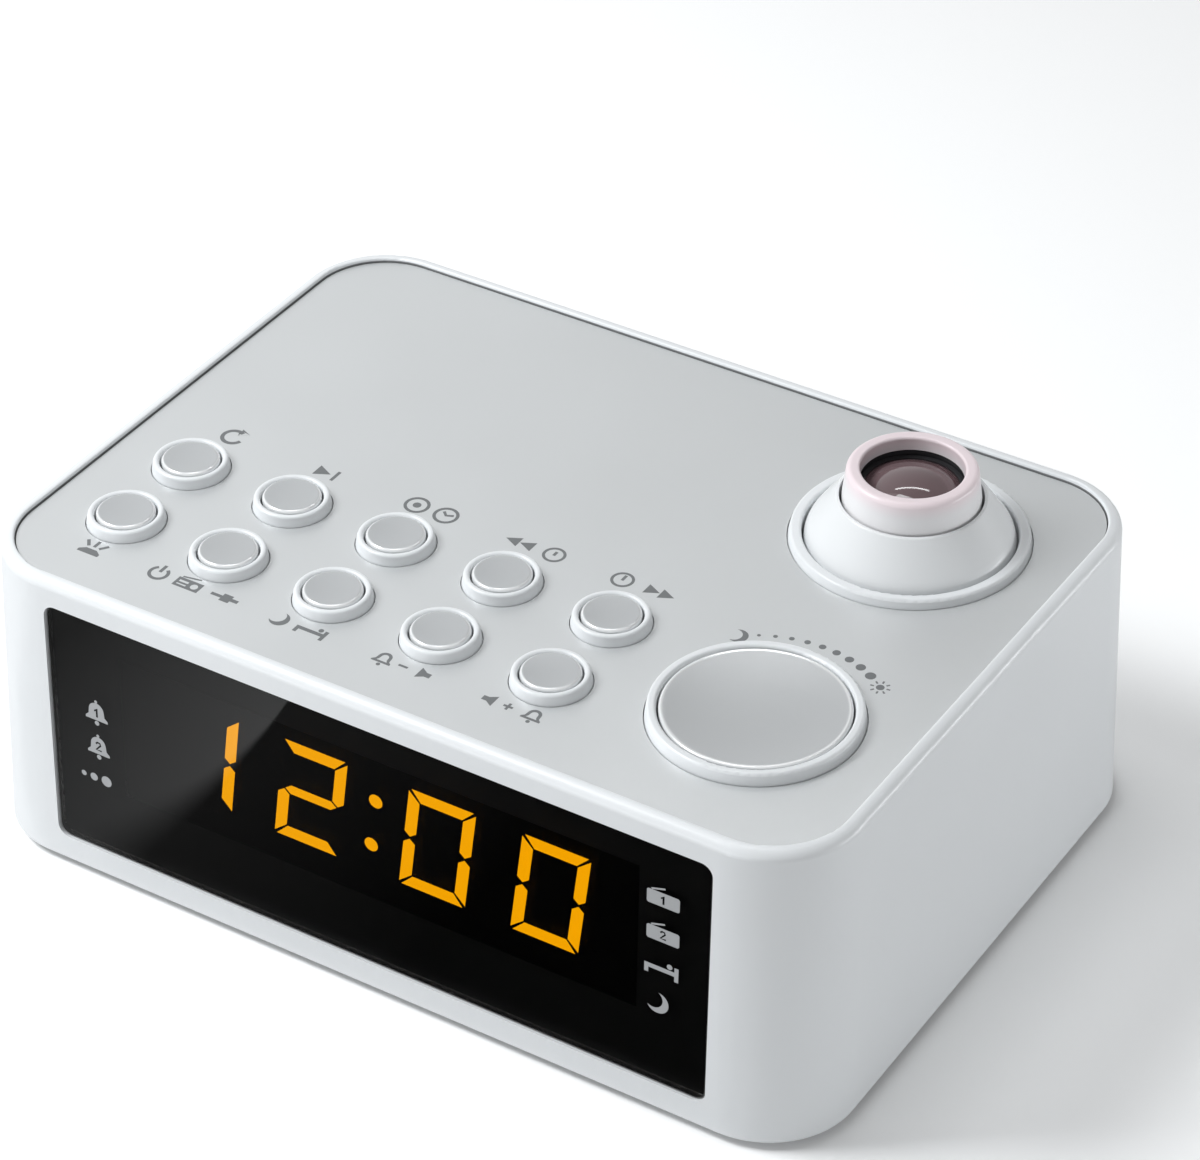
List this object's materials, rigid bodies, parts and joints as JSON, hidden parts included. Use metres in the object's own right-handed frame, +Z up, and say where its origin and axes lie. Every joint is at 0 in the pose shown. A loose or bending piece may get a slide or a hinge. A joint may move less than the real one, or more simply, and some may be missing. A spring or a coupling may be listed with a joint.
{
  "type": "projection alarm clock radio",
  "caption": "White table alarm clock with a leaning front, an amber display behind a smoked lens, round keys in raised collars, a large snooze key and a ceiling projector with a focus ring.",
  "frame": {"origin": "middle of the footprint, on the table under the feet", "axes": "+Z up, display faces -Y, +X to the right of someone who reads the display"},
  "size_m": [0.1526, 0.1108, 0.0663],
  "materials": {
    "white_housing": "satin",
    "silver_key": "silver paint with a polished edge",
    "silver_plate": "satin silver paint",
    "smoked_lens": "polished, smoked and see-through",
    "amber_light": "lit",
    "dark_segment": "satin",
    "black_plastic": "matte",
    "circuit_board": "satin",
    "black_rubber": "matte",
    "screw_steel": "zinc plated",
    "speaker_steel": "satin",
    "ferrite": "matte",
    "speaker_paper": "matte",
    "copper_coil": "enamelled wire",
    "clear_lens": "polished",
    "display_glass": "polished",
    "led_red": "lit"
  },
  "bodies": {
    "housing_body": {"aerial_coil": "copper_coil", "audio_socket": "black_plastic", "base_cover": "white_housing", "battery_contacts": "screw_steel", "battery_springs": "screw_steel", "board_screws": "screw_steel", "capacitors": "black_plastic", "case_screws": "screw_steel", "condenser_lens": "clear_lens", "dark_segments": "dark_segment", "display_board": "circuit_board", "display_lens": "smoked_lens", "display_module": "black_plastic", "ferrite_rod": "ferrite", "key_board": "circuit_board", "main_board": "circuit_board", "power_socket": "black_plastic", "projector_board": "circuit_board", "projector_dome": "white_housing", "projector_glass": "display_glass", "projector_led": "led_red", "projector_screws": "screw_steel", "projector_tube": "black_plastic", "radio_chip": "black_plastic", "rubber_feet": "black_rubber", "speaker_cone": "speaker_paper", "speaker_frame": "speaker_steel", "speaker_magnet": "ferrite", "tact_switches": "black_plastic", "time_digits": "amber_light", "top_plate": "silver_plate", "tuner_can": "screw_steel", "upper_housing": "white_housing"},
    "key_rotate_body": {"key_rotate": "silver_key", "plunger_rotate": "black_plastic"},
    "key_next_body": {"key_next": "silver_key", "plunger_next": "black_plastic"},
    "key_clock_body": {"key_clock": "silver_key", "plunger_clock": "black_plastic"},
    "key_hour_body": {"key_hour": "silver_key", "plunger_hour": "black_plastic"},
    "key_minute_body": {"key_minute": "silver_key", "plunger_minute": "black_plastic"},
    "key_projection_body": {"key_projection": "silver_key", "plunger_projection": "black_plastic"},
    "key_power_body": {"key_power": "silver_key", "plunger_power": "black_plastic"},
    "key_sleep_body": {"key_sleep": "silver_key", "plunger_sleep": "black_plastic"},
    "key_volume_down_body": {"key_volume_down": "silver_key", "plunger_volume_down": "black_plastic"},
    "key_volume_up_body": {"key_volume_up": "silver_key", "plunger_volume_up": "black_plastic"},
    "snooze_body": {"snooze_key": "silver_key", "plunger_snooze": "black_plastic"},
    "focus_ring_body": {"focus_ring": "white_housing"},
    "lens_carrier_body": {"lens_carrier": "black_plastic", "projection_lens": "clear_lens"},
    "battery_door_body": {"battery_door": "white_housing"}
  },
  "joints": [
    {"name": "rotate_press", "type": "slide", "parent": "housing_body", "child": "key_rotate_body", "axis": [0, 0, -1], "range_m": [0, 0.0005], "stiffness_N_per_m": 3000, "springref_m": -0.0003},
    {"name": "next_press", "type": "slide", "parent": "housing_body", "child": "key_next_body", "axis": [0, 0, -1], "range_m": [0, 0.0005], "stiffness_N_per_m": 3000, "springref_m": -0.0003},
    {"name": "clock_press", "type": "slide", "parent": "housing_body", "child": "key_clock_body", "axis": [0, 0, -1], "range_m": [0, 0.0005], "stiffness_N_per_m": 3000, "springref_m": -0.0003},
    {"name": "hour_press", "type": "slide", "parent": "housing_body", "child": "key_hour_body", "axis": [0, 0, -1], "range_m": [0, 0.0005], "stiffness_N_per_m": 3000, "springref_m": -0.0003},
    {"name": "minute_press", "type": "slide", "parent": "housing_body", "child": "key_minute_body", "axis": [0, 0, -1], "range_m": [0, 0.0005], "stiffness_N_per_m": 3000, "springref_m": -0.0003},
    {"name": "projection_press", "type": "slide", "parent": "housing_body", "child": "key_projection_body", "axis": [0, 0, -1], "range_m": [0, 0.0005], "stiffness_N_per_m": 3000, "springref_m": -0.0003},
    {"name": "power_press", "type": "slide", "parent": "housing_body", "child": "key_power_body", "axis": [0, 0, -1], "range_m": [0, 0.0005], "stiffness_N_per_m": 3000, "springref_m": -0.0003},
    {"name": "sleep_press", "type": "slide", "parent": "housing_body", "child": "key_sleep_body", "axis": [0, 0, -1], "range_m": [0, 0.0005], "stiffness_N_per_m": 3000, "springref_m": -0.0003},
    {"name": "volume_down_press", "type": "slide", "parent": "housing_body", "child": "key_volume_down_body", "axis": [0, 0, -1], "range_m": [0, 0.0005], "stiffness_N_per_m": 3000, "springref_m": -0.0003},
    {"name": "volume_up_press", "type": "slide", "parent": "housing_body", "child": "key_volume_up_body", "axis": [0, 0, -1], "range_m": [0, 0.0005], "stiffness_N_per_m": 3000, "springref_m": -0.0003},
    {"name": "snooze_press", "type": "slide", "parent": "housing_body", "child": "snooze_body", "axis": [0, 0, -1], "range_m": [0, 0.0005], "stiffness_N_per_m": 3000, "springref_m": -0.0003},
    {"name": "focus_turn", "type": "hinge", "parent": "housing_body", "child": "focus_ring_body", "pos_m": [0.047, 0.02615, 0.0545], "axis": [0, 0, 1], "range_deg": [-90, 20]},
    {"name": "focus_lift", "type": "slide", "parent": "housing_body", "child": "lens_carrier_body", "axis": [0, 0, 1], "range_m": [-0.00225, 0.0005]},
    {"name": "battery_door_slide", "type": "slide", "parent": "housing_body", "child": "battery_door_body", "axis": [0, 1, 0], "range_m": [0, 0.024]}
  ],
  "couplings": [
    {"joint": "focus_turn", "follows": "focus_lift", "rad_per_m": 698.13}
  ]
}
